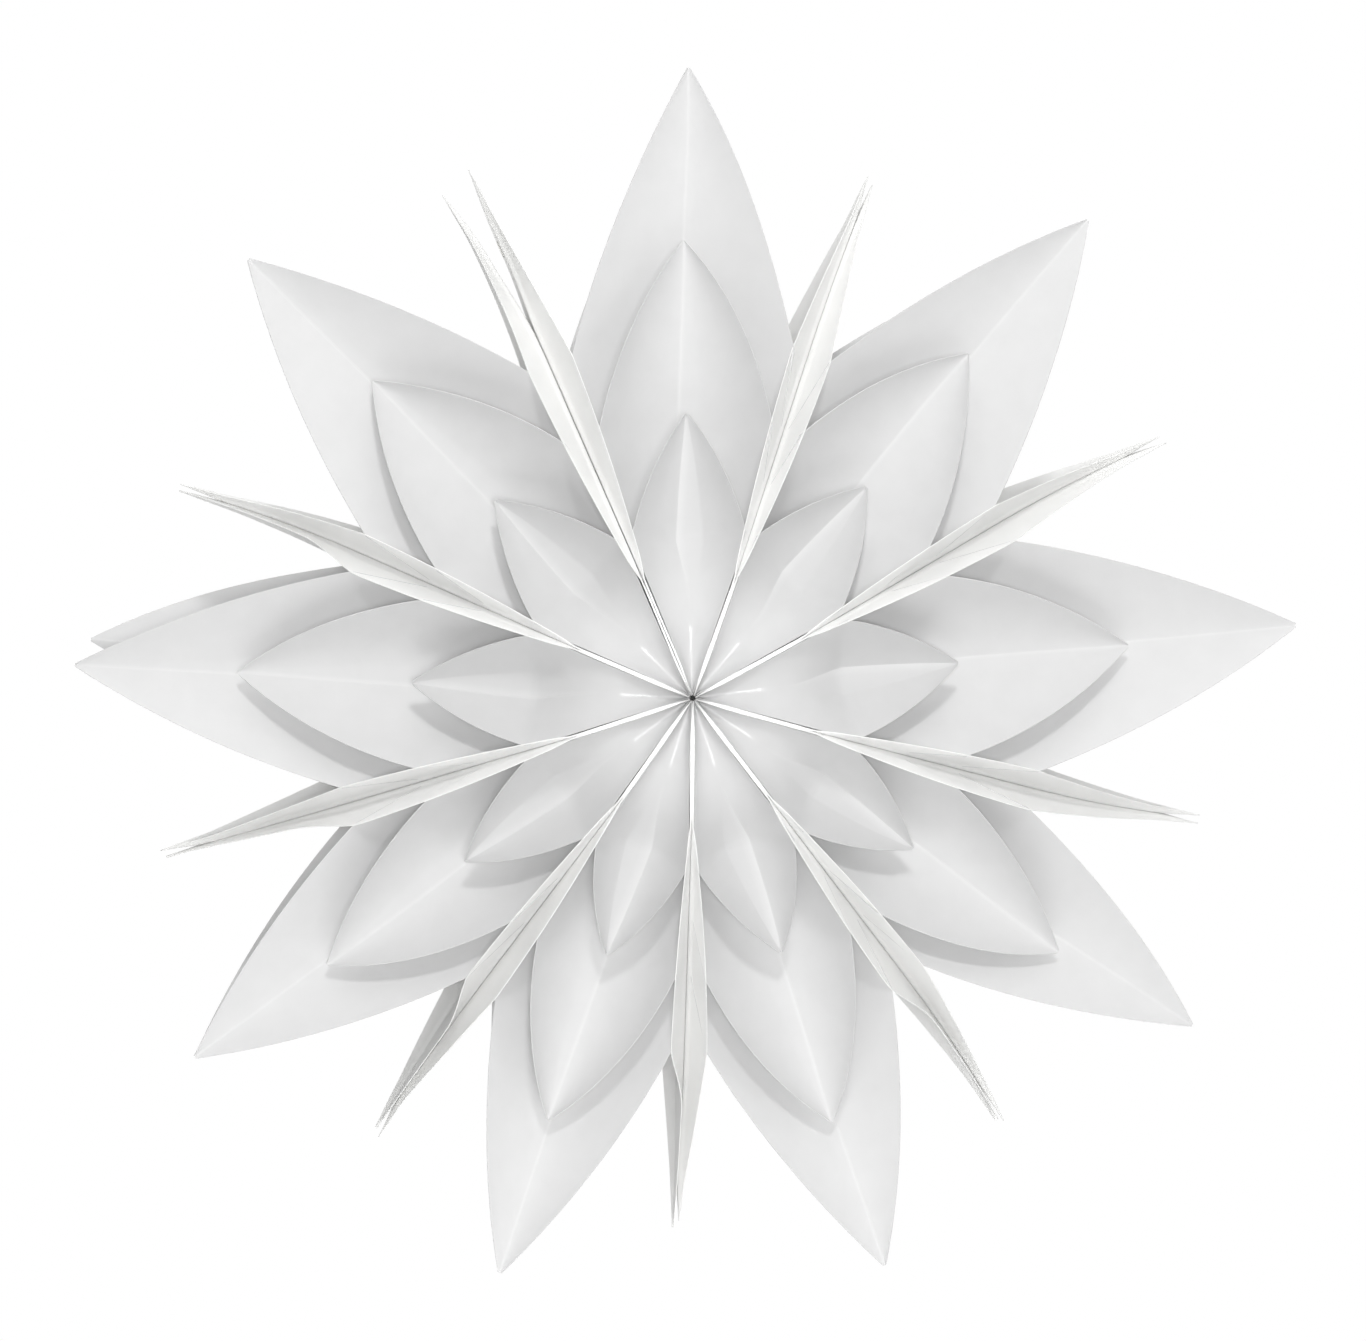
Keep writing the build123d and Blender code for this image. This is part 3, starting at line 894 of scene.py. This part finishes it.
class STAR_OT_eyelets(bpy.types.Operator):
    """Make the hanging eyelets in the first and last page"""

    bl_idname = "star.eyelets"
    bl_label = "Hanging eyelets"

    def execute(self, context):
        s, seams, metal = sizes(), seam_angles(), enamelled_metal()
        radius = s.eyelet_distance
        for name, seam, side in (("first", 0, 1.0), ("last", SECTORS, -1.0)):
            lean = SPIKE_LEANS[seam]
            height = side * (s.card / 2 + SEAM_GAP) - spike_swing(radius, lean)
            slope = (spike_swing(radius + 1.0, lean) - spike_swing(radius - 1.0, lean)) / 2.0
            make_turned(f"{name}_page_eyelet", eyelet_profile(), seams[seam], [(radius, height, 0.0)], True, slope,
                        metal, f"hanging_eyelet_{name}_page")
        return {"FINISHED"}


class STAR_OT_closing_dots(bpy.types.Operator):
    """Make the hook and loop dots of the closing seam"""

    bl_idname = "star.closing_dots"
    bl_label = "Closing dots"

    def execute(self, context):
        s, seams = sizes(), seam_angles()
        # A dot fills half the gap at its end nearest the axis, less a little room
        profile = dot_profile((s.dot_distance - s.dot_radius) * closing_slope() - 0.07)
        places = [(s.dot_distance, 0.0, s.dot_depth), (s.dot_distance, 0.0, -s.dot_depth)]
        make_turned("hook_dots", profile * np.array([1.0, -1.0]), seams[0], places, False, 0.0, moulded_hooks(),
                    "closing_hook_dots")
        make_turned("loop_dots", profile, seams[-1], places, False, 0.0, napped_loops(), "closing_loop_dots")
        return {"FINISHED"}


class STAR_OT_stage(bpy.types.Operator):
    """Make the floor, the light and the camera"""

    bl_idname = "star.stage"
    bl_label = "Stage"

    def execute(self, context):
        bpy.context.scene.view_settings.view_transform = "Standard"
        make_world()
        make_floor()
        for lamp in LAMPS:
            make_lamp(*lamp)
        make_camera()
        return {"FINISHED"}


# Stage


# Light of the room in front of the star and of the pale wall behind and above it
ROOM_LIGHT, WALL_LIGHT = 0.2, 0.65
WALL_WAY = (0.0, 0.8, 0.6)
# Name, azimuth from the star's front and elevation in degrees, distance and size in m, power in W, seen in gloss
LAMPS = (
    ("key", 2.0, 42.0, 2.2, 0.3, 16.0, False),
    ("front", -3.3, 2.9, 2.6, 0.3, 35.0, False),
    ("overhead", 4.0, 76.0, 2.0, 1.6, 10.0, False),
    ("side", 68.0, 8.0, 2.4, 1.2, 4.0, False),
    ("bounce_card", 0.0, -62.0, 0.6, 0.8, 0.6, False),
    ("rear", 180.0, 35.0, 2.6, 1.0, 26.0, False),
    ("glint", 3.2, -3.0, 2.4, 0.42, 8.0, True),
)
# The viewer's azimuth and elevation in degrees, distance and aim over the star's centre in m
VIEW = (-3.26, 2.9, 2.0, 0.0093)
# Focal length in picture widths, and the picture's width in mm
VIEW_FOCAL, SENSOR_WIDTH = 3940.6 / 1366, 36.0


def make_world():
    """White to the camera, in gloss and through glass; as light, a white wall behind and a dimmer room in front."""
    world = bpy.data.worlds.new("studio")
    bpy.context.scene.world = world
    world.use_nodes = True
    tree = world.node_tree
    background = tree.nodes["Background"]
    background.inputs["Color"].default_value = (1.0, 1.0, 1.0, 1.0)
    place = node(tree, "ShaderNodeTexCoord")
    way = node(tree, "ShaderNodeVectorMath", {"operation": "DOT_PRODUCT", 1: WALL_WAY}, {0: (place, "Generated")})
    room = node(tree, "ShaderNodeMapRange",
                {"From Min": -0.2, "From Max": 0.5, "To Min": ROOM_LIGHT, "To Max": WALL_LIGHT},
                {"Value": (way, "Value")})
    path = node(tree, "ShaderNodeLightPath")
    direct = node(tree, "ShaderNodeMath", {"operation": "MAXIMUM"},
                  {0: (path, "Is Camera Ray"), 1: (path, "Is Transmission Ray")})
    seen = node(tree, "ShaderNodeMath", {"operation": "MAXIMUM"}, {0: (direct, 0), 1: (path, "Is Glossy Ray")})
    level = node(tree, "ShaderNodeMapRange", {"To Max": 1.0}, {"Value": (seen, 0), "To Min": (room, "Result")})
    tree.links.new(level.outputs["Result"], background.inputs["Strength"])


def stand(name, data, azimuth, elevation, distance, rise=0.0):
    """A lamp or camera at angles in degrees from the star's front, turned to a point rise over its centre."""
    a, e = math.radians(azimuth), math.radians(elevation)
    back = Vector((math.sin(a) * math.cos(e), -math.cos(a) * math.cos(e), math.sin(e)))
    stood = new_object(name, data)
    stood.location = Vector(CENTRE) + Vector((0.0, 0.0, rise)) + back * distance
    stood.rotation_euler = back.to_track_quat("Z", "Y").to_euler()
    return stood


def make_lamp(name, azimuth, elevation, distance, size, power, mirrored):
    """A round area lamp that the camera doesn't see; mirrored lets gloss show it."""
    lamp = bpy.data.lights.new(name, "AREA")
    lamp.shape, lamp.size, lamp.energy = "DISK", size, power
    holder = stand(name, lamp, azimuth, elevation, distance)
    holder.visible_camera = False
    holder.visible_glossy = mirrored


def make_camera():
    """The viewer a little left of and above the star's axis, far enough for a long lens."""
    data = bpy.data.cameras.new("viewer")
    data.sensor_width = SENSOR_WIDTH
    data.lens = SENSOR_WIDTH * VIEW_FOCAL
    data.clip_start, data.clip_end = 0.05, 50.0
    bpy.context.scene.camera = stand("viewer", data, *VIEW)


def make_floor():
    """A round pale floor well below the hanging star, with a fine grain of 25 mm."""
    radius, drop, steps = 1.3, 0.9, 96
    turn = np.linspace(0, 2 * math.pi, steps, endpoint=False)
    rim = np.stack([radius * np.cos(turn), radius * np.sin(turn), np.full(steps, -drop)], -1)
    mesh = bpy.data.meshes.new("floor")
    mesh.from_pydata((rim + CENTRE).tolist(), [], [list(range(steps))])
    material, tree, shader = new_material("pale_floor")
    place = node(tree, "ShaderNodeTexCoord")
    grain = node(tree, "ShaderNodeTexNoise", {"Scale": 1 / 0.025, "Detail": 3.0}, {"Vector": (place, "Object")})
    tone = node(tree, "ShaderNodeValToRGB", {}, {"Fac": (grain, "Fac")},
                ((0.0, linear(colours().floor, 0.98)), (1.0, linear(colours().floor))))
    tree.links.new(tone.outputs["Color"], shader.inputs["Base Color"])
    shader.inputs["Roughness"].default_value = 0.8
    mesh.materials.append(material)
    floor = new_object("floor", mesh)


class STAR_PT_panel(bpy.types.Panel):
    """Lists the star's pieces and sizes"""

    bl_label = "Card star"
    bl_idname = "STAR_PT_panel"
    bl_space_type = "VIEW_3D"
    bl_region_type = "UI"
    bl_category = "Card star"

    def draw(self, context):
        for operator in OPERATORS:
            self.layout.operator(operator.bl_idname)
        for group in (context.scene.star_sizes, context.scene.star_colours):
            box = self.layout.box()
            for name in type(group).__annotations__:
                box.prop(group, name)


OPERATORS = (STAR_OT_leaves, STAR_OT_pages, STAR_OT_spine_strips, STAR_OT_eyelets, STAR_OT_closing_dots,
             STAR_OT_stage)
CLASSES = (StarSizes, StarColours, *OPERATORS, STAR_PT_panel)


def register():
    """Registers the classes and puts the sizes and colours on the scene."""
    for cls in CLASSES:
        bpy.utils.register_class(cls)
    bpy.types.Scene.star_sizes = bpy.props.PointerProperty(type=StarSizes)
    bpy.types.Scene.star_colours = bpy.props.PointerProperty(type=StarColours)


def unregister():
    """Takes them off again."""
    del bpy.types.Scene.star_colours
    del bpy.types.Scene.star_sizes
    for cls in reversed(CLASSES):
        bpy.utils.unregister_class(cls)


def main():
    """Builds the star and its stage."""
    register()
    bpy.ops.star.leaves()
    bpy.ops.star.pages()
    bpy.ops.star.spine_strips()
    bpy.ops.star.eyelets()
    bpy.ops.star.closing_dots()
    bpy.ops.star.stage()


if __name__ == "__main__":
    main()
